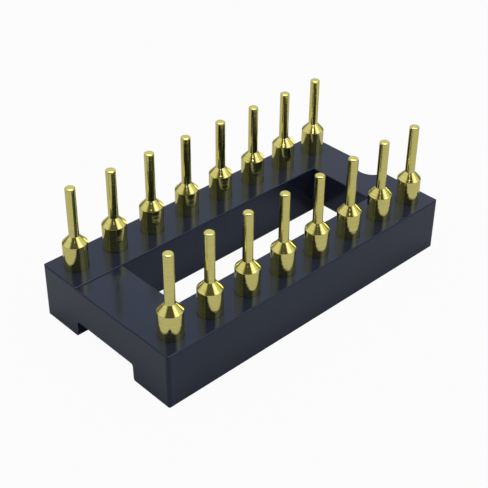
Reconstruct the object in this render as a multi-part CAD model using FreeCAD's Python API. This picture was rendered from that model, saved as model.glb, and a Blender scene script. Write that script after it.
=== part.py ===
import FreeCAD, Part
import math
import os

# Socket for a dual in-line circuit: turned contacts in an open moulded frame, two rows of eight.
# Sizes are in millimetres. X runs along the rows and Y across them. The face that takes the
# circuit is down, as the socket lies in the photograph, and the solder tails point up along +Z.
# The origin is the centre of the resting face.

# Grid of the contacts
CONTACTS_PER_ROW = 8
PITCH = 2.54
ROW_SPACING = 7.62

# Housing: two rails of full height, joined by two bars
HOUSING_HEIGHT = 3.25
END_MARGIN = 1.27  # from the last contact's axis to the end face
SIDE_MARGIN = 1.27  # from a row's axis to the long side
RAIL_WIDTH = 2.88  # at the board face
RAIL_DRAFT = 0.12  # how much narrower each rail is at the resting face
PLAIN_BAR_LENGTH = 3.05  # along X, at the end without the notch
NOTCHED_BAR_LENGTH = 2.8
BAR_RECESS = 1.05  # from the resting face up to the bars, where a lifting tool goes in
PLAIN_BAR_STEP = 0.06  # from the board face down to that bar; the notched one is flush
NOTCH_RADIUS = 1.02
CORNER_ROUND = 0.2  # upright outer corners
BOARD_EDGE_ROUND = 0.08  # outer edges of the board face
RIM_ROUND = 0.06  # the other edges of the rails and bars
FOOT_ROUND = 0.2  # inner lower edge of each rail
BAR_FILLET = 0.15  # where the bars' undersides meet the rails

# Sleeve: one turned piece, with its head at the resting face and its tail at the top
HEAD_RECESS = 0.1  # from the resting face up to the rim of the head
HEAD_RADIUS = 0.9
HEAD_HEIGHT = 0.55
HEAD_ROUND = 0.05  # edge of the rim
BARREL_RADIUS = 0.67
BARREL_STANDOFF = 1.47  # from the board face to the foot of the cone
BARREL_ROUND = 0.05  # edge between barrel and cone
CONE_HEIGHT = 0.43
TAIL_RADIUS = 0.275
TAIL_LENGTH = 2.9  # from the cone to the tip
TIP_ROUND = 0.08
BARB_RADIUS = 0.74
BARB_OFFSET = 0.55  # from the head's shoulder to the barb's step
BARB_LENGTH = 0.45

# Lead entry and blind bore of the sleeve
MOUTH_RADIUS = 0.75
MOUTH_DEPTH = 0.2
FUNNEL_DEPTH = 0.23
BORE_RADIUS = 0.52
BORE_DEPTH = 3.0  # beyond the funnel
DRILL_POINT_ANGLE = 118.0  # degrees

# Spring clip: a rolled band with fingers that close on the lead
FINGERS = 4
CLIP_WALL = 0.08
CLIP_INSET = 0.05  # from the end of the funnel to the rim of the band
BAND_LENGTH = 0.75
FINGER_LENGTH = 1.5
FLARE_LENGTH = 0.2
FLARE_SPREAD = 0.07  # how far the finger tips open again
THROAT_RADIUS = 0.16
FINGER_SLOT = 0.12
BAND_SEAM = 0.05

# Clearances
SLEEVE_CLEARANCE = 0.01  # radial, between sleeve and housing
HEAD_CLEARANCE = 0.02  # radial, between head and pocket
CLIP_CLEARANCE = 0.01  # radial, between band and bore
POCKET_CHAMFER = 0.06  # lead-in edge of each pocket

# Places worked out from the sizes above
ROW_LENGTH = (CONTACTS_PER_ROW - 1) * PITCH
END_X = ROW_LENGTH / 2 + END_MARGIN
SIDE_Y = ROW_SPACING / 2 + SIDE_MARGIN
RAIL_INNER_Y = SIDE_Y - RAIL_WIDTH
RAIL_FOOT_Y = RAIL_INNER_Y + RAIL_DRAFT
WINDOW_LOW_X = -END_X + PLAIN_BAR_LENGTH
WINDOW_HIGH_X = END_X - NOTCHED_BAR_LENGTH
PLAIN_BAR_TOP_Z = HOUSING_HEIGHT - PLAIN_BAR_STEP
SHOULDER_Z = HEAD_RECESS + HEAD_HEIGHT
BARB_Z = SHOULDER_Z + BARB_OFFSET
CONE_Z = HOUSING_HEIGHT + BARREL_STANDOFF
TAIL_Z = CONE_Z + CONE_HEIGHT
TIP_Z = TAIL_Z + TAIL_LENGTH
FUNNEL_Z = HEAD_RECESS + MOUTH_DEPTH
BORE_Z = FUNNEL_Z + FUNNEL_DEPTH
BORE_END_Z = BORE_Z + BORE_DEPTH
DRILL_POINT_Z = BORE_END_Z + BORE_RADIUS / math.tan(math.radians(DRILL_POINT_ANGLE / 2))
CLIP_Z = BORE_Z + CLIP_INSET
BAND_RADIUS = BORE_RADIUS - CLIP_CLEARANCE - CLIP_WALL

TURN = 360.0
AXIS = FreeCAD.Vector(0, 0, 1)
CENTRE = FreeCAD.Vector(0, 0, 0)
NEAR = 1e-6  # two positions this close are the same


def outline(corners, place):
    """Face inside a closed outline of (a, b, round) corners; place turns (a, b) into a point."""
    bends = []
    for index, (a, b, radius) in enumerate(corners):
        corner = place(a, b)
        back = (place(*corners[index - 1][:2]) - corner).normalize()
        ahead = (place(*corners[(index + 1) % len(corners)][:2]) - corner).normalize()
        half = back.getAngle(ahead) / 2
        reach = radius / math.tan(half)
        middle = corner + (back + ahead).normalize() * (radius / math.sin(half) - radius)
        bends.append((corner + back * reach, middle, corner + ahead * reach, radius))
    edges = []
    for index, (entry, middle, leave, radius) in enumerate(bends):
        if radius > 0:
            edges.append(Part.Arc(entry, middle, leave).toShape())
        edges.append(Part.LineSegment(leave, bends[(index + 1) % len(bends)][0]).toShape())
    return Part.Face(Part.Wire(edges))


def turned(corners):
    """Solid turned about Z from (radius, height, round) corners."""
    profile = outline(corners, lambda r, z: FreeCAD.Vector(r, 0, z))
    return profile.revolve(CENTRE, AXIS, TURN)


def prism_x(corners):
    """Solid over the whole length of the housing from (y, z, round) corners."""
    profile = outline(corners, lambda y, z: FreeCAD.Vector(-END_X, y, z))
    return profile.extrude(FreeCAD.Vector(2 * END_X, 0, 0))


def prism_y(corners, half_width):
    """Solid carried across the middle along Y from (x, z, round) corners."""
    profile = outline(corners, lambda x, z: FreeCAD.Vector(x, -half_width, z))
    return profile.extrude(FreeCAD.Vector(0, 2 * half_width, 0))


def prism_z(corners, height):
    """Solid raised from the resting face from (x, y, round) corners."""
    profile = outline(corners, lambda x, y: FreeCAD.Vector(x, y, 0))
    return profile.extrude(FreeCAD.Vector(0, 0, height))


def block(low, high):
    """Box between two opposite corners."""
    low, high = FreeCAD.Vector(*low), FreeCAD.Vector(*high)
    size = high - low
    return Part.makeBox(size.x, size.y, size.z, low)


def edges_where(shape, test):
    """Edges of a shape with every end point passing a test."""
    return [edge for edge in shape.Edges if all(test(end.Point) for end in edge.Vertexes)]


def runs_along_x(edge):
    """Whether an edge goes along X from end to end."""
    run = edge.Vertexes[-1].Point - edge.Vertexes[0].Point
    return abs(run.x) > NEAR and abs(run.y) < NEAR and abs(run.z) < NEAR


def contact_places():
    """Number and place of each contact, counted as the circuit's leads are: from the notch, down
    the near row and back along the far row."""
    last_x = ROW_LENGTH / 2
    for step in range(CONTACTS_PER_ROW):
        yield step + 1, last_x - step * PITCH, -ROW_SPACING / 2
    for step in range(CONTACTS_PER_ROW):
        yield CONTACTS_PER_ROW + step + 1, -last_x + step * PITCH, ROW_SPACING / 2


# Housing

def rail(side):
    """One rail over the whole length, on the side of Y that the sign gives."""
    return prism_x(
        [
            (side * SIDE_Y, 0, RIM_ROUND),
            (side * SIDE_Y, HOUSING_HEIGHT, BOARD_EDGE_ROUND),
            (side * RAIL_INNER_Y, HOUSING_HEIGHT, RIM_ROUND),
            (side * RAIL_FOOT_Y, 0, FOOT_ROUND),
        ]
    )


def bar(end_x, window_x, top_z, end_round):
    """One bar between the rails, from the end face to the window and running into both rails."""
    corners = [
        (end_x, BAR_RECESS, 0),
        (window_x, BAR_RECESS, 0),
        (window_x, top_z, RIM_ROUND),
        (end_x, top_z, end_round),
    ]
    return prism_y(corners, (RAIL_INNER_Y + SIDE_Y) / 2)


def envelope():
    """Outer block of the housing, with its upright corners and end rims rounded."""
    plan = [
        (-END_X, -SIDE_Y, CORNER_ROUND),
        (END_X, -SIDE_Y, CORNER_ROUND),
        (END_X, SIDE_Y, CORNER_ROUND),
        (-END_X, SIDE_Y, CORNER_ROUND),
    ]
    side = [
        (-END_X, 0, RIM_ROUND),
        (END_X, 0, RIM_ROUND),
        (END_X, HOUSING_HEIGHT, BOARD_EDGE_ROUND),
        (-END_X, HOUSING_HEIGHT, BOARD_EDGE_ROUND),
    ]
    return prism_z(plan, HOUSING_HEIGHT).common(prism_y(side, SIDE_Y))


def contact_hole():
    """Space for one sleeve: a pocket for the head, a bore for the barrel and the barb's groove."""
    pocket_radius = HEAD_RADIUS + HEAD_CLEARANCE
    bore_radius = BARREL_RADIUS + SLEEVE_CLEARANCE
    groove_radius = BARB_RADIUS + SLEEVE_CLEARANCE
    return turned(
        [
            (0, 0, 0),
            (pocket_radius + POCKET_CHAMFER, 0, 0),
            (pocket_radius, POCKET_CHAMFER, 0),
            (pocket_radius, SHOULDER_Z, 0),
            (bore_radius, SHOULDER_Z, 0),
            (bore_radius, BARB_Z, 0),
            (groove_radius, BARB_Z, 0),
            (bore_radius, BARB_Z + BARB_LENGTH, 0),
            (bore_radius, HOUSING_HEIGHT, 0),
            (0, HOUSING_HEIGHT, 0),
        ]
    )


def housing():
    """The moulded frame with its window, notch and contact holes."""
    plain = bar(-END_X, WINDOW_LOW_X, PLAIN_BAR_TOP_Z, BOARD_EDGE_ROUND)
    notched = bar(END_X, WINDOW_HIGH_X, HOUSING_HEIGHT, 0)
    frame = rail(-1).fuse([rail(1), plain, notched]).removeSplitter()

    def in_bar_root(point):
        beside_rail = RAIL_INNER_Y < abs(point.y) < RAIL_FOOT_Y
        return beside_rail and abs(point.z - BAR_RECESS) < NEAR

    roots = [edge for edge in edges_where(frame, in_bar_root) if runs_along_x(edge)]
    frame = frame.makeFillet(BAR_FILLET, roots).common(envelope())
    notch = Part.makeCylinder(NOTCH_RADIUS, HOUSING_HEIGHT, FreeCAD.Vector(END_X, 0, 0), AXIS)
    hole = contact_hole()
    holes = [hole.translated(FreeCAD.Vector(x, y, 0)) for _, x, y in contact_places()]
    return frame.cut([notch] + holes)


# Contacts

def contact_sleeve():
    """One turned sleeve about the Z axis, with a blind bore that opens at the resting face."""
    return turned(
        [
            (MOUTH_RADIUS, HEAD_RECESS, 0),
            (HEAD_RADIUS, HEAD_RECESS, HEAD_ROUND),
            (HEAD_RADIUS, SHOULDER_Z, 0),
            (BARREL_RADIUS, SHOULDER_Z, 0),
            (BARREL_RADIUS, BARB_Z, 0),
            (BARB_RADIUS, BARB_Z, 0),
            (BARREL_RADIUS, BARB_Z + BARB_LENGTH, 0),
            (BARREL_RADIUS, CONE_Z, BARREL_ROUND),
            (TAIL_RADIUS, TAIL_Z, 0),
            (TAIL_RADIUS, TIP_Z, TIP_ROUND),
            (0, TIP_Z, 0),
            (0, DRILL_POINT_Z, 0),
            (BORE_RADIUS, BORE_END_Z, 0),
            (BORE_RADIUS, BORE_Z, 0),
            (MOUTH_RADIUS, FUNNEL_Z, 0),
        ]
    )


def contact_clip():
    """One spring clip about the Z axis, inside the sleeve's bore."""
    fingers_z = CLIP_Z + BAND_LENGTH
    throat_z = fingers_z + FINGER_LENGTH
    tip_z = throat_z + FLARE_LENGTH
    shell = turned(
        [
            (BAND_RADIUS, CLIP_Z, 0),
            (BAND_RADIUS + CLIP_WALL, CLIP_Z, 0),
            (BAND_RADIUS + CLIP_WALL, fingers_z, 0),
            (THROAT_RADIUS + CLIP_WALL, throat_z, 0),
            (THROAT_RADIUS + FLARE_SPREAD + CLIP_WALL, tip_z, 0),
            (THROAT_RADIUS + FLARE_SPREAD, tip_z, 0),
            (THROAT_RADIUS, throat_z, 0),
            (BAND_RADIUS, fingers_z, 0),
        ]
    )
    reach = BORE_RADIUS
    slots = []
    for finger in range(FINGERS):
        slot = block((0, -FINGER_SLOT / 2, fingers_z), (reach, FINGER_SLOT / 2, tip_z))
        slots.append(slot.rotated(CENTRE, AXIS, finger * TURN / FINGERS))
    seam = block((0, -BAND_SEAM / 2, CLIP_Z), (reach, BAND_SEAM / 2, tip_z))
    return shell.cut(slots + [seam])


def save(shape, node):
    """Writes one sub-part and says what it is."""
    solid = shape.Solids[0]
    if len(shape.Solids) != 1 or not solid.isValid():
        raise ValueError(f"{node} is not one valid solid")
    solid.exportStep(f"parts/{node}.step")
    print(f"{node}: {solid.Volume:.3f} mm3")


os.makedirs("parts", exist_ok=True)
save(housing(), "housing")
sleeve = contact_sleeve()
clip = contact_clip()
for number, place_x, place_y in contact_places():
    place = FreeCAD.Vector(place_x, place_y, 0)
    save(sleeve.translated(place), f"contact_sleeve_{number:02d}")
    save(clip.translated(place), f"contact_clip_{number:02d}")
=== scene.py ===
"""Looks of a sixteen-contact socket for a dual in-line circuit, lying with its solder tails up."""

import logging
import math
from dataclasses import dataclass
from enum import Enum
from typing import Any

import bpy
import numpy as np
from mathutils import Matrix, Vector


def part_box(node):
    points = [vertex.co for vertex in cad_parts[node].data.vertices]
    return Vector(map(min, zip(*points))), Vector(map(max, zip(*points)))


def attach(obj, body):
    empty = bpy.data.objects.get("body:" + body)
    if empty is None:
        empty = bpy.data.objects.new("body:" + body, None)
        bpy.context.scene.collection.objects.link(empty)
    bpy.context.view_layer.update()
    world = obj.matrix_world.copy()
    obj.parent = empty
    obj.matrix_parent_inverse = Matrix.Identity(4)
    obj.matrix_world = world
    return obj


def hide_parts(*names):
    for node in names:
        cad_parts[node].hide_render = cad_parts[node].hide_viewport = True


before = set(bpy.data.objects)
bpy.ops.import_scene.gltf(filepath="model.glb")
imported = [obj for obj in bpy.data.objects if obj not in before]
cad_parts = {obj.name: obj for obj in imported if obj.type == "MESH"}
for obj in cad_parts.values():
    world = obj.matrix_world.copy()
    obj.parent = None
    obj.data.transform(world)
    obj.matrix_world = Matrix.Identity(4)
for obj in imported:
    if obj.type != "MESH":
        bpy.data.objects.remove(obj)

MM = 0.001
BODY = "root"
CONTACTS = 16
SMOOTH_BELOW_DEG = 32.0  # edges that bend less than this are drawn smooth
WHITE = (1.0, 1.0, 1.0, 1.0)

log = logging.getLogger("socket")
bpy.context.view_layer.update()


class Slot(Enum):
    """The record's material slots."""

    HOUSING = "housing"
    SLEEVE = "sleeve"
    CLIP = "clip"


class Ray(Enum):
    """Kinds of ray that see the backdrop partly as plain white."""

    CAMERA = "Is Camera Ray"
    GLOSSY = "Is Glossy Ray"
    TRANSMISSION = "Is Transmission Ray"


EVEN_WHITE = {Ray.CAMERA: 0.95, Ray.GLOSSY: 0.02, Ray.TRANSMISSION: 0.1}  # share of each ray


# Colours and nodes


def linear(code: str) -> tuple[float, float, float, float]:
    """Turns an sRGB hex colour into linear red, green, blue and a full alpha.

    Args:
        code: six hex digits after a hash sign.

    Returns:
        The linear colour, by the sRGB curve: c / 12.92 up to 0.04045, and above that
        ((c + 0.055) / 1.055) to the power 2.4.
    """
    channels = [int(code[i : i + 2], 16) / 255 for i in (1, 3, 5)]
    r, g, b = (c / 12.92 if c <= 0.04045 else ((c + 0.055) / 1.055) ** 2.4 for c in channels)
    return r, g, b, 1.0


def add(
    tree: bpy.types.NodeTree,
    kind: str,
    inputs: dict[str | int, Any] | None = None,
    **settings: Any,
) -> bpy.types.Node:
    """Adds one node with its settings, values and links.

    Args:
        tree: the nodes of a material or of the world.
        kind: the node's type, without the words that all shader nodes start with.
        inputs: what goes into each input, by name or number: an output socket or a value.
        **settings: the node's own settings.

    Returns:
        The new node.
    """
    node = tree.nodes.new("ShaderNode" + kind)
    for name, value in settings.items():
        setattr(node, name, value)
    for name, value in (inputs or {}).items():
        if isinstance(value, bpy.types.NodeSocket):
            tree.links.new(value, node.inputs[name])
        else:
            node.inputs[name].default_value = value
    return node


def mix(
    tree: bpy.types.NodeTree,
    share: bpy.types.NodeSocket,
    first: bpy.types.NodeSocket | tuple[float, float, float, float],
    second: bpy.types.NodeSocket | tuple[float, float, float, float],
) -> bpy.types.NodeSocket:
    """Blends two colours.

    Args:
        tree: the nodes of a material or of the world.
        share: how much of the second colour there is, from 0 to 1.
        first: a colour or an output that gives one.
        second: a colour or an output that gives one.

    Returns:
        The output with the blended colour.
    """
    return add(tree, "Mix", {0: share, 6: first, 7: second}, data_type="RGBA").outputs[2]


def spread(
    tree: bpy.types.NodeTree,
    value: bpy.types.NodeSocket,
    start: float,
    end: float,
    to: tuple[float, float] = (0.0, 1.0),
    **settings: Any,
) -> bpy.types.NodeSocket:
    """Maps a range of a value to another range and holds it there.

    Args:
        tree: the nodes of a material or of the world.
        value: the output to map.
        start: the value that gives the first of the new range.
        end: the value that gives the last of the new range.
        to: the new range.
        **settings: the node's own settings.

    Returns:
        The output with the mapped value.
    """
    inputs = {"Value": value, "From Min": start, "From Max": end, "To Min": to[0], "To Max": to[1]}
    return add(tree, "MapRange", inputs, **settings).outputs["Result"]


def noise(
    tree: bpy.types.NodeTree,
    inputs: dict[str, Any],
    size_mm: float,
    **settings: Any,
) -> bpy.types.NodeSocket:
    """Adds a noise with a real size.

    Args:
        tree: the nodes of a material.
        inputs: the noise's other inputs, by name.
        size_mm: how long one wave of the noise is on the object.
        **settings: the node's own settings.

    Returns:
        The output with the noise's value, near 0.5 on average.
    """
    return add(tree, "TexNoise", inputs | {"Scale": 1 / (size_mm * MM)}, **settings).outputs["Fac"]


def bump(
    tree: bpy.types.NodeTree,
    height: bpy.types.NodeSocket,
    height_mm: float,
    under: bpy.types.NodeSocket | None = None,
) -> bpy.types.NodeSocket:
    """Bends the shading's normal over a height.

    Args:
        tree: the nodes of a material.
        height: an output from 0 to 1.
        height_mm: the real height that 1 stands for.
        under: the normal of a broader bump that this one lies on.

    Returns:
        The output with the bent normal.
    """
    inputs = {"Height": height, "Strength": 1.0, "Distance": height_mm * MM}
    if under is not None:
        inputs["Normal"] = under
    return add(tree, "Bump", inputs).outputs["Normal"]


def new_material(name: str) -> tuple[bpy.types.Material, bpy.types.NodeTree]:
    """Makes a material with no nodes in it yet.

    Args:
        name: what the real material is.

    Returns:
        The material and its nodes.
    """
    material = bpy.data.materials.new(name)
    material.use_nodes = True
    material.node_tree.nodes.clear()
    return material, material.node_tree


def white_share(tree: bpy.types.NodeTree) -> bpy.types.NodeSocket:
    """Tells how much plain white a ray sees in place of the lit backdrop.

    Args:
        tree: the nodes of a material or of the world.

    Returns:
        An output with the share that EVEN_WHITE gives the ray's kind, and 0 for any other kind.
    """
    path = add(tree, "LightPath")
    total = 0.0
    for ray, share in EVEN_WHITE.items():
        inputs = {0: path.outputs[ray.value], 1: share, 2: total}
        total = add(tree, "Math", inputs, operation="MULTIPLY_ADD").outputs[0]
    return total


# Finishes


@dataclass(frozen=True)
class MouldedPolyester:
    """Black glass-filled polyester, injection moulded in a polished steel tool.

    It gives the eye a smooth near-black body with a cool blue-grey sheen, in which the gold
    contacts are mirrored a little softly, because glass fibres near the skin haze the polish.
    """

    name: str = "moulded_black_polyester"
    body: str = "#1B1E2D"
    body_pale: str = "#212534"
    sheen: str = "#BCD4FF"
    roughness: tuple[float, float] = (0.13, 0.2)
    haze_range: tuple[float, float] = (0.3, 0.7)
    ior: float = 1.57
    fibre_mm: float = 0.06
    haze_mm: float = 1.4
    flow_mm: float = 2.2
    fibre_height_mm: float = 0.00035
    flow_height_mm: float = 0.0024

    def material(self) -> bpy.types.Material:
        """Builds the material.

        Returns:
            A dielectric with fibre grain, slow flow waves and a hazy polish, all read from
            Object coordinates.
        """
        material, tree = new_material(self.name)
        place = add(tree, "TexCoord").outputs["Object"]
        haze = noise(tree, {"Vector": place, "Detail": 3.0, "Roughness": 0.6}, self.haze_mm)
        fibre = noise(tree, {"Vector": place, "Detail": 2.0, "Roughness": 0.55}, self.fibre_mm)
        flow = noise(tree, {"Vector": place, "Detail": 1.0}, self.flow_mm)
        waves = bump(tree, flow, self.flow_height_mm)
        surface = add(
            tree,
            "BsdfPrincipled",
            {
                "Base Color": mix(tree, haze, linear(self.body), linear(self.body_pale)),
                "Roughness": spread(tree, haze, *self.haze_range, self.roughness),
                "IOR": self.ior,
                "Specular Tint": linear(self.sheen),
                "Normal": bump(tree, fibre, self.fibre_height_mm, waves),
            },
        )
        add(tree, "OutputMaterial", {"Surface": surface.outputs["BSDF"]})
        return material


@dataclass(frozen=True)
class GoldPlate:
    """Hard gold over nickel, on copper alloy that keeps its tool marks.

    It gives the eye a pale lemon metal, near a mirror, crossed by the fine rings that the
    lathe's tool leaves, or by the faint lines of rolled strip. The rings' grooves get a painted
    shade colour, which stands in for the shade and dark reflections that fall in them. Real
    feed marks are near 0.02 mm apart, and are drawn coarser, because that is too fine to show.
    """

    name: str
    gold: str
    gold_deep: str
    # painted shade: the colour that the rings' grooves are darkened towards
    groove_shade: str
    groove_shade_share: float
    roughness: tuple[float, float]
    mark_mm: float
    band_mm: float
    mark_height_mm: float
    band_height_mm: float
    patch_mm: float = 0.9
    mark_range: tuple[float, float] = (0.3, 0.7)
    groove_shade_range: tuple[float, float] = (0.48, 0.68)

    def material(self) -> bpy.types.Material:
        """Builds the material.

        Returns:
            A metal whose marks follow the piece's own attribute "along", the length of its
            profile in metres, whose colour varies with Object coordinates, and whose marks'
            grooves are darkened by painted shade.
        """
        material, tree = new_material(self.name)
        place = add(tree, "TexCoord").outputs["Object"]
        along = add(tree, "Attribute", attribute_name="along").outputs["Fac"]
        marks = noise(
            tree,
            {"W": along, "Detail": 2.0, "Roughness": 0.7},
            self.mark_mm,
            noise_dimensions="1D",
        )
        bands = noise(tree, {"W": along, "Detail": 1.0}, self.band_mm, noise_dimensions="1D")
        patches = noise(tree, {"Vector": place, "Detail": 2.0}, self.patch_mm)
        plate = mix(tree, patches, linear(self.gold), linear(self.gold_deep))
        # painted shade: the deepest marks are darkened towards the groove shade colour, in place of
        # the shade and dark reflections in the grooves
        groove_shading = spread(tree, marks, *self.groove_shade_range, (0.0, self.groove_shade_share))
        broad = bump(tree, bands, self.band_height_mm)
        surface = add(
            tree,
            "BsdfPrincipled",
            {
                "Base Color": mix(tree, groove_shading, plate, linear(self.groove_shade)),
                "Metallic": 1.0,
                "Roughness": spread(tree, marks, *self.mark_range, self.roughness),
                "Normal": bump(tree, marks, self.mark_height_mm, broad),
            },
        )
        add(tree, "OutputMaterial", {"Surface": surface.outputs["BSDF"]})
        return material


@dataclass(frozen=True)
class BackdropPaper:
    """Matt pale backdrop paper.

    It gives the eye a plain white ground. Camera, gloss and transmission rays see it partly as
    even white, and the rest is lit paper, which keeps the object's shadow.
    """

    name: str = "pale_backdrop_paper"
    pale: str = "#A8A8A8"
    roughness: float = 0.95

    def material(self) -> bpy.types.Material:
        """Builds the material.

        Returns:
            Matt paper mixed with an even glow of strength 1, by each kind of ray's share.
        """
        material, tree = new_material(self.name)
        share = white_share(tree)
        paper = add(
            tree, "BsdfPrincipled", {"Base Color": linear(self.pale), "Roughness": self.roughness}
        )
        glow = add(tree, "Emission", {"Color": WHITE, "Strength": 1.0})
        both = add(
            tree, "MixShader", {0: share, 1: paper.outputs["BSDF"], 2: glow.outputs["Emission"]}
        )
        add(tree, "OutputMaterial", {"Surface": both.outputs["Shader"]})
        return material


# Surfaces


def rounded_line(corners: list[tuple[float, float, float]], steps: int, hold: float) -> np.ndarray:
    """Draws an open line through corners, each with its own round.

    A corner of half angle h and round r is left at r / tan(h) on both of its runs, and the arc
    between is walked in equal turns from one run to the other. Each run also gets a point near
    both of its ends, so that shading bends at the corner and not along the run.

    Args:
        corners: (radius, height, round) of each corner, in millimetres.
        steps: how many parts each arc has.
        hold: how far along a run its extra points lie, in millimetres.

    Returns:
        The line's points, as rows of (radius, height).
    """
    points = np.array([corner[:2] for corner in corners])
    line = [points[:1]]
    share = np.linspace(0.0, 1.0, steps + 1)[:, None]
    for before, corner, after, radius in zip(
        points, points[1:], points[2:], [corner[2] for corner in corners[1:]]
    ):
        back = (before - corner) / np.linalg.norm(before - corner)
        ahead = (after - corner) / np.linalg.norm(after - corner)
        half = math.acos(float(back @ ahead)) / 2
        middle = (back + ahead) / np.linalg.norm(back + ahead) * radius / math.sin(half)
        turn = math.pi - 2 * half
        start = back * radius / math.tan(half) - middle
        end = ahead * radius / math.tan(half) - middle
        arc = (np.sin((1 - share) * turn) * start + np.sin(share * turn) * end) / math.sin(turn)
        line.append(corner + middle + arc)
    line.append(points[-1:])
    held = [line[0]]
    for here, there in zip(line, line[1:]):
        run = there[0] - here[-1]
        length = float(np.linalg.norm(run))
        reach = min(hold, length / 3) / length
        held.append(here[-1] + run * np.array([[reach], [1 - reach]]))
        held.append(there)
    return np.vstack(held)


def arc_lengths(line: np.ndarray) -> np.ndarray:
    """Measures along a line.

    Args:
        line: the line's points, one in each row.

    Returns:
        How far along the line each point lies, starting from zero.
    """
    return np.concatenate([[0.0], np.cumsum(np.linalg.norm(np.diff(line, axis=0), axis=1))])


def make_piece(
    name: str,
    points: np.ndarray,
    faces: np.ndarray,
    along: np.ndarray,
    material: bpy.types.Material,
) -> bpy.types.Object:
    """Puts a worked-out surface into a mesh.

    Args:
        name: the piece's name.
        points: its vertices in the part's frame, in millimetres.
        faces: rows of four vertex numbers, where a triangle names its last vertex twice.
        along: the profile length at each vertex, in millimetres.
        material: its finish.

    Returns:
        The piece, with its object at the origin.
    """
    mesh = bpy.data.meshes.new(name)
    corners = np.where(faces[:, 2] == faces[:, 3], 3, 4)
    keep = np.arange(4)[None, :] < corners[:, None]
    mesh.vertices.add(len(points))
    mesh.vertices.foreach_set("co", (points * MM).astype(np.float32).ravel())
    mesh.loops.add(int(corners.sum()))
    mesh.loops.foreach_set("vertex_index", faces[keep].astype(np.int32))
    mesh.polygons.add(len(faces))
    starts = np.concatenate([[0], np.cumsum(corners)[:-1]])
    mesh.polygons.foreach_set("loop_start", starts.astype(np.int32))
    mesh.polygons.foreach_set("use_smooth", np.ones(len(faces), bool))
    mesh.attributes.new("along", "FLOAT", "POINT").data.foreach_set(
        "value", (along * MM).astype(np.float32)
    )
    mesh.update(calc_edges=True)
    mesh.validate()
    mesh.set_sharp_from_angle(angle=math.radians(SMOOTH_BELOW_DEG))
    mesh.materials.append(material)
    piece = bpy.data.objects.new(name, mesh)
    bpy.context.scene.collection.objects.link(piece)
    return piece


def contact_axis(number: int) -> np.ndarray:
    """Finds the axis of a contact.

    Args:
        number: the contact's number, from 1.

    Returns:
        Where the middle of its CAD sleeve's box lies, in millimetres and at height zero.
    """
    low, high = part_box(f"contact_sleeve_{number:02d}")
    return np.array([low.x + high.x, low.y + high.y, 0.0]) / (2 * MM)


# The socket


@dataclass
class Housing:
    """The moulded frame, which keeps its CAD shape and gets its real finish."""

    node: str = "housing"
    finish: MouldedPolyester = MouldedPolyester()

    def dress(self) -> bpy.types.Object:
        """Gives the CAD node its finish.

        Returns:
            The CAD node's object.
        """
        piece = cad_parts[self.node]
        material = self.finish.material()
        for slot in piece.material_slots:
            slot.material = material
        return piece


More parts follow.
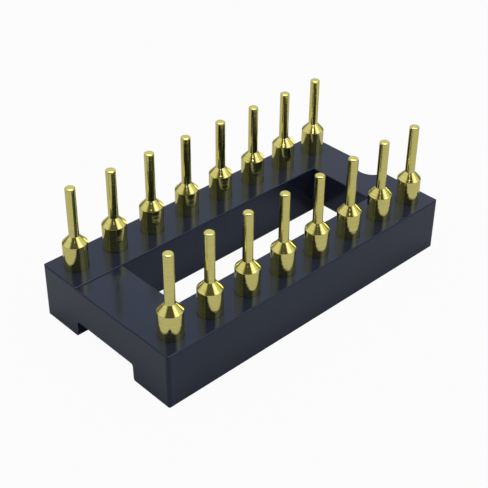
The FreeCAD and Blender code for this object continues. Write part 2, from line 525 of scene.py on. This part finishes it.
@dataclass
class ContactSleeves:
    """The turned sleeves, one closed surface of revolution each. Sizes are in millimetres."""

    housing_height: float = 3.25
    head_recess: float = 0.1
    head_radius: float = 0.9
    head_height: float = 0.55
    head_round: float = 0.05
    barrel_radius: float = 0.67
    barrel_standoff: float = 1.47
    barrel_round: float = 0.05
    cone_height: float = 0.43
    tail_radius: float = 0.275
    tail_length: float = 2.9
    tip_round: float = 0.08
    tip_crown: float = 0.02
    barb_radius: float = 0.74
    barb_offset: float = 0.55
    barb_length: float = 0.45
    mouth_radius: float = 0.75
    mouth_depth: float = 0.2
    funnel_depth: float = 0.23
    bore_radius: float = 0.52
    bore_depth: float = 3.0
    drill_point_angle: float = 118.0
    edge_break: float = 0.015
    segments: int = 80
    arc_steps: int = 4
    hold: float = 0.02
    finish: GoldPlate = GoldPlate(
        name="gold_plated_turned_brass",
        gold="#FDF49C",
        gold_deep="#F4EA88",
        # painted shade colour for the turned rings' grooves
        groove_shade="#8A7540",
        groove_shade_share=0.2,
        roughness=(0.05, 0.11),
        mark_mm=0.09,
        band_mm=0.35,
        mark_height_mm=0.0035,
        band_height_mm=0.004,
    )

    def profile(self) -> np.ndarray:
        """Draws half of the sleeve's section, from the tail's tip down its outside and up the bore.

        Returns:
            Rows of (radius, height), which start and end on the axis.
        """
        shoulder = self.head_recess + self.head_height
        barb = shoulder + self.barb_offset
        cone = self.housing_height + self.barrel_standoff
        tail = cone + self.cone_height
        tip = tail + self.tail_length
        funnel = self.head_recess + self.mouth_depth
        bore = funnel + self.funnel_depth
        bore_end = bore + self.bore_depth
        point = bore_end + self.bore_radius / math.tan(math.radians(self.drill_point_angle / 2))
        small = self.edge_break
        corners = [
            (0.0, tip, 0.0),
            (self.tail_radius, tip - self.tip_crown, self.tip_round),
            (self.tail_radius, tail, small),
            (self.barrel_radius, cone, self.barrel_round),
            (self.barrel_radius, barb + self.barb_length, small),
            (self.barb_radius, barb, small),
            (self.barrel_radius, barb, small),
            (self.barrel_radius, shoulder, small),
            (self.head_radius, shoulder, small),
            (self.head_radius, self.head_recess, self.head_round),
            (self.mouth_radius, self.head_recess, small),
            (self.mouth_radius, funnel, small),
            (self.bore_radius, bore, small),
            (self.bore_radius, bore_end, small),
            (0.0, point, 0.0),
        ]
        return rounded_line(corners, self.arc_steps, self.hold)

    def surface(self) -> tuple[np.ndarray, np.ndarray, np.ndarray]:
        """Turns the profile about the axis.

        The point at turn u and profile place v is (r(v) cos u, r(v) sin u, z(v)). The two ends of
        the profile lie on the axis, so each is one vertex with a fan of triangles round it.

        Returns:
            Vertices about the Z axis, faces, and the profile length at each vertex.
        """
        line = self.profile()
        along = arc_lengths(line)
        turn = np.linspace(0, 2 * math.pi, self.segments, endpoint=False)
        rings = line[1:-1]
        radius, height = rings[:, :1], rings[:, 1:]
        grid = np.stack(
            [radius * np.cos(turn), radius * np.sin(turn), height + 0 * turn], axis=-1
        ).reshape(-1, 3)
        points = np.vstack([[0, 0, line[0, 1]], grid, [0, 0, line[-1, 1]]])
        count = len(rings)
        number = 1 + np.arange(count * self.segments).reshape(count, self.segments)
        beside = np.roll(number, -1, axis=1)
        sides = np.stack([number[:-1], number[1:], beside[1:], beside[:-1]], axis=-1)
        first, last = np.zeros_like(number[0]), np.full_like(number[0], len(points) - 1)
        top = np.stack([first, number[0], beside[0], beside[0]], axis=-1)
        end = np.stack([last, beside[-1], number[-1], number[-1]], axis=-1)
        faces = np.vstack([top, sides.reshape(-1, 4), end])
        lengths = np.concatenate([along[:1], np.repeat(along[1:-1], self.segments), along[-1:]])
        return points, faces, lengths

    def build(self) -> list[bpy.types.Object]:
        """Places one sleeve on the axis of each CAD sleeve.

        Returns:
            The pieces, each standing for its CAD node.
        """
        points, faces, along = self.surface()
        material = self.finish.material()
        pieces = []
        for number in range(1, CONTACTS + 1):
            place = points + contact_axis(number)
            counted = along + number * along.max()  # so that each sleeve has its own rings
            piece = make_piece(f"turned_sleeve_{number:02d}", place, faces, counted, material)
            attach(piece, BODY)
            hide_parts(f"contact_sleeve_{number:02d}")
            pieces.append(piece)
        return pieces


@dataclass
class ContactClips:
    """The rolled spring clips inside the sleeves' bores. Sizes are in millimetres."""

    rim: float = 0.58
    band_radius: float = 0.43
    wall: float = 0.08
    band_length: float = 0.75
    finger_length: float = 1.5
    flare_length: float = 0.2
    throat_radius: float = 0.16
    flare_spread: float = 0.07
    fingers: int = 4
    slot: float = 0.12
    seam: float = 0.05
    columns: int = 8
    band_rows: int = 3
    finger_rows: int = 8
    flare_rows: int = 3
    finish: GoldPlate = GoldPlate(
        name="gold_plated_spring_strip",
        gold="#F7EB8E",
        gold_deep="#EDE27C",
        # painted shade colour for the grooves of the rolled strip's lines
        groove_shade="#8A7540",
        groove_shade_share=0.2,
        roughness=(0.12, 0.24),
        mark_mm=0.05,
        band_mm=0.4,
        mark_height_mm=0.0006,
        band_height_mm=0.002,
    )

    def heights(self) -> tuple[np.ndarray, np.ndarray]:
        """Gives the heights of the clip's rows and the inner radius at each.

        The radius is even along the band, narrows evenly to the throat and opens again in the
        flare at the fingers' ends.

        Returns:
            Heights and inner radii.
        """
        fingers = self.rim + self.band_length
        throat = fingers + self.finger_length
        rows = np.concatenate(
            [
                np.linspace(self.rim, fingers, self.band_rows + 1),
                np.linspace(fingers, throat, self.finger_rows + 1)[1:],
                np.linspace(throat, throat + self.flare_length, self.flare_rows + 1)[1:],
            ]
        )
        radius = np.interp(
            rows,
            [fingers, throat, throat + self.flare_length],
            [self.band_radius, self.throat_radius, self.throat_radius + self.flare_spread],
        )
        return rows, radius

    def turns(self, radius: np.ndarray) -> np.ndarray:
        """Gives the turn of every column at every row.

        Each finger spans from one slot's edge to the next slot's, and a slot of width w at radius
        r takes asin(w / 2r) on each side of its middle. The seam lies in the first slot's middle.

        Args:
            radius: the inner radius at each row.

        Returns:
            Turns in radians, one row for each height.
        """
        slot = np.arcsin(self.slot / 2 / radius)[:, None]
        seam = np.arcsin(self.seam / 2 / radius)[:, None]
        part = 2 * math.pi / self.fingers
        share = np.linspace(0.0, 1.0, self.columns + 1)[None, :]
        spans = [k * part + slot + share * (part - 2 * slot) for k in range(self.fingers)]
        return np.hstack([seam, *spans, 2 * math.pi - seam])

    def surface(self) -> tuple[np.ndarray, np.ndarray, np.ndarray]:
        """Wraps the strip round the axis and gives it its wall.

        The point at row i, column j is (r cos t, r sin t, z) with r the row's inner radius and
        t the column's turn, and again with the wall added to r for the outside. Cells that lie in
        a slot are left out, and wherever a kept cell has no neighbour a narrow face joins the
        inside to the outside.

        Returns:
            Vertices about the Z axis, faces, and the strip's length at each vertex.
        """
        rows, radius = self.heights()
        turn = self.turns(radius)
        shape = turn.shape
        shells = [
            np.stack(
                [
                    (radius[:, None] + wall) * np.cos(turn),
                    (radius[:, None] + wall) * np.sin(turn),
                    rows[:, None] + 0 * turn,
                ],
                axis=-1,
            ).reshape(-1, 3)
            for wall in (0.0, self.wall)
        ]
        inner = np.arange(turn.size).reshape(shape)
        outer = inner + turn.size
        kept = np.ones((shape[0] - 1, shape[1] - 1), bool)
        kept[self.band_rows :, :: self.columns + 1] = False
        low, high = np.s_[:-1], np.s_[1:]
        cells = [
            np.stack([inner[low, low], inner[high, low], inner[high, high], inner[low, high]], -1),
            np.stack([outer[low, low], outer[low, high], outer[high, high], outer[high, low]], -1),
        ]
        ring = np.pad(kept, 1)
        middle = np.s_[1:-1]
        rims = []
        for missing, a, b in (
            (~ring[:-2, middle], (low, low), (low, high)),
            (~ring[2:, middle], (high, high), (high, low)),
            (~ring[middle, :-2], (high, low), (low, low)),
            (~ring[middle, 2:], (low, high), (high, high)),
        ):
            edge = np.stack([inner[a], inner[b], outer[b], outer[a]], -1)
            rims.append(edge[kept & missing])
        faces = np.vstack([cell[kept] for cell in cells] + rims)
        along = np.tile(np.repeat(rows - self.rim, shape[1]), 2)
        points = np.vstack(shells)
        used, numbers = np.unique(faces, return_inverse=True)
        return points[used], numbers.reshape(faces.shape), along[used]

    def build(self) -> list[bpy.types.Object]:
        """Places one clip on the axis of each CAD clip.

        Returns:
            The pieces, each standing for its CAD node.
        """
        points, faces, along = self.surface()
        material = self.finish.material()
        pieces = []
        for number in range(1, CONTACTS + 1):
            place = points + contact_axis(number)
            piece = make_piece(f"spring_clip_{number:02d}", place, faces, along, material)
            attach(piece, BODY)
            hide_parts(f"contact_clip_{number:02d}")
            pieces.append(piece)
        return pieces


# The studio


@dataclass(frozen=True)
class Softbox:
    """A square lamp that faces the object. Sizes are in metres and the power is in watts."""

    name: str
    azimuth_deg: float
    elevation_deg: float
    distance: float
    size: float
    power: float

    def build(self) -> bpy.types.Object:
        """Hangs the lamp in its place.

        Returns:
            The lamp.
        """
        data = bpy.data.lights.new(self.name, "AREA")
        data.shape = "SQUARE"
        data.size = self.size
        data.energy = self.power
        lamp = bpy.data.objects.new(self.name, data)
        turn = Matrix.Rotation(math.radians(self.azimuth_deg), 4, "Z")
        tilt = Matrix.Rotation(math.radians(90 - self.elevation_deg), 4, "X")
        lamp.matrix_world = turn @ tilt @ Matrix.Translation((0, 0, self.distance))
        bpy.context.scene.collection.objects.link(lamp)
        return lamp


@dataclass(frozen=True)
class WallPatch:
    """A round patch of the studio's walls in a colour of its own. Angles are in degrees."""

    colour: str
    azimuth_deg: float
    elevation_deg: float
    inner_deg: float
    outer_deg: float

    def towards(self) -> Vector:
        """Points at the patch.

        Returns:
            The direction from the object to the patch's middle.
        """
        a, e = math.radians(self.azimuth_deg), math.radians(self.elevation_deg)
        return Vector((math.sin(a) * math.cos(e), -math.cos(a) * math.cos(e), math.sin(e)))


@dataclass
class Studio:
    """Floor, lamps, surrounding light and camera. Lengths are in metres."""

    floor_reach: float = 3.0
    paper: BackdropPaper = BackdropPaper()
    softboxes: tuple[Softbox, ...] = (
        Softbox(
            name="softbox_top",
            azimuth_deg=0.0,
            elevation_deg=87.0,
            distance=0.3,
            size=0.27,
            power=0.7,
        ),
        Softbox(
            name="softbox_right",
            azimuth_deg=22.0,
            elevation_deg=40.0,
            distance=0.35,
            size=0.2,
            power=0.07,
        ),
    )
    walls: str = "#D2D2D2"
    walls_foot: str = "#4A4A4A"
    foot_deg: tuple[float, float] = (4.0, 24.0)
    dark_patch: WallPatch = WallPatch(
        colour="#424242",
        azimuth_deg=-41.0,
        elevation_deg=33.0,
        inner_deg=28.0,
        outer_deg=46.0,
    )
    camera_place_mm: tuple[float, float, float] = (-34.6, -35.776, 37.417)
    camera_azimuth_deg: float = -45.024
    camera_elevation_deg: float = 33.776
    camera_roll_deg: float = 1.424
    camera_shift: tuple[float, float] = (-0.0446, -0.0548)
    camera_clip: tuple[float, float] = (0.001, 10.0)
    lens_mm: float = 80.797
    sensor_mm: float = 36.0

    def build_floor(self) -> bpy.types.Object:
        """Lays the paper that the object rests on.

        Returns:
            The floor, a flat square whose top is at height zero.
        """
        mesh = bpy.data.meshes.new("floor")
        edge = np.array([-self.floor_reach, self.floor_reach])
        x, y = np.meshgrid(edge, edge)
        points = np.stack([x.ravel(), y.ravel(), np.zeros(4)], axis=-1)
        mesh.from_pydata(points.tolist(), [], [(0, 1, 3, 2)])
        mesh.materials.append(self.paper.material())
        floor = bpy.data.objects.new("floor", mesh)
        bpy.context.scene.collection.objects.link(floor)
        return floor

    def build_surround(self) -> bpy.types.World:
        """Makes the light of the studio's walls.

        Returns:
            The world. The walls brighten upwards from their dark foot, the dark patch takes over
            as the ray turns towards its middle, and the camera sees nearly plain white.
        """
        world = bpy.data.worlds.new("studio_walls")
        world.use_nodes = True
        tree = world.node_tree
        tree.nodes.clear()
        direction = add(tree, "TexCoord").outputs["Generated"]
        height = add(tree, "SeparateXYZ", {0: direction}).outputs["Z"]
        low, high = (math.sin(math.radians(angle)) for angle in self.foot_deg)
        climb = spread(tree, height, low, high, interpolation_type="SMOOTHSTEP")
        walls = mix(tree, climb, linear(self.walls_foot), linear(self.walls))
        patch = self.dark_patch
        aim = {0: direction, 1: patch.towards()}
        facing = add(tree, "VectorMath", aim, operation="DOT_PRODUCT").outputs["Value"]
        edge, core = (math.cos(math.radians(a)) for a in (patch.outer_deg, patch.inner_deg))
        share = spread(tree, facing, edge, core, interpolation_type="SMOOTHSTEP")
        lit = mix(tree, share, walls, linear(patch.colour))
        seen = mix(tree, white_share(tree), lit, WHITE)
        light = add(tree, "Background", {"Color": seen, "Strength": 1.0})
        add(tree, "OutputWorld", {"Surface": light.outputs["Background"]})
        bpy.context.scene.world = world
        return world

    def build_camera(self) -> bpy.types.Object:
        """Puts the camera at the photograph's viewing angle.

        Returns:
            The camera, shifted a little, because the photograph is cut off-centre.
        """
        data = bpy.data.cameras.new("camera")
        data.lens = self.lens_mm
        data.sensor_width = self.sensor_mm
        data.shift_x, data.shift_y = self.camera_shift
        data.clip_start, data.clip_end = self.camera_clip
        camera = bpy.data.objects.new("camera", data)
        turn = Matrix.Rotation(math.radians(self.camera_azimuth_deg), 4, "Z")
        tilt = Matrix.Rotation(math.radians(90 - self.camera_elevation_deg), 4, "X")
        roll = Matrix.Rotation(math.radians(self.camera_roll_deg), 4, "Z")
        place = Matrix.Translation(Vector(self.camera_place_mm) * MM)
        camera.matrix_world = place @ turn @ tilt @ roll
        bpy.context.scene.collection.objects.link(camera)
        bpy.context.scene.camera = camera
        return camera

    def build(self) -> None:
        """Builds the whole studio and sets plain colours for the picture."""
        log.info("stage: %s", self.build_floor().name)
        for softbox in self.softboxes:
            log.info("lamp: %s", softbox.build().name)
        log.info("surround: %s", self.build_surround().name)
        log.info("camera: %s", self.build_camera().name)
        bpy.context.scene.view_settings.view_transform = "Standard"


def main() -> None:
    """Dresses the frame, adds the contacts and builds the studio."""
    logging.basicConfig(level=logging.INFO, format="%(message)s")
    log.info("piece: %s", Housing().dress().name)
    for piece in ContactSleeves().build() + ContactClips().build():
        log.info("piece: %s, %d faces", piece.name, len(piece.data.polygons))
    Studio().build()


if __name__ == "__main__":
    main()
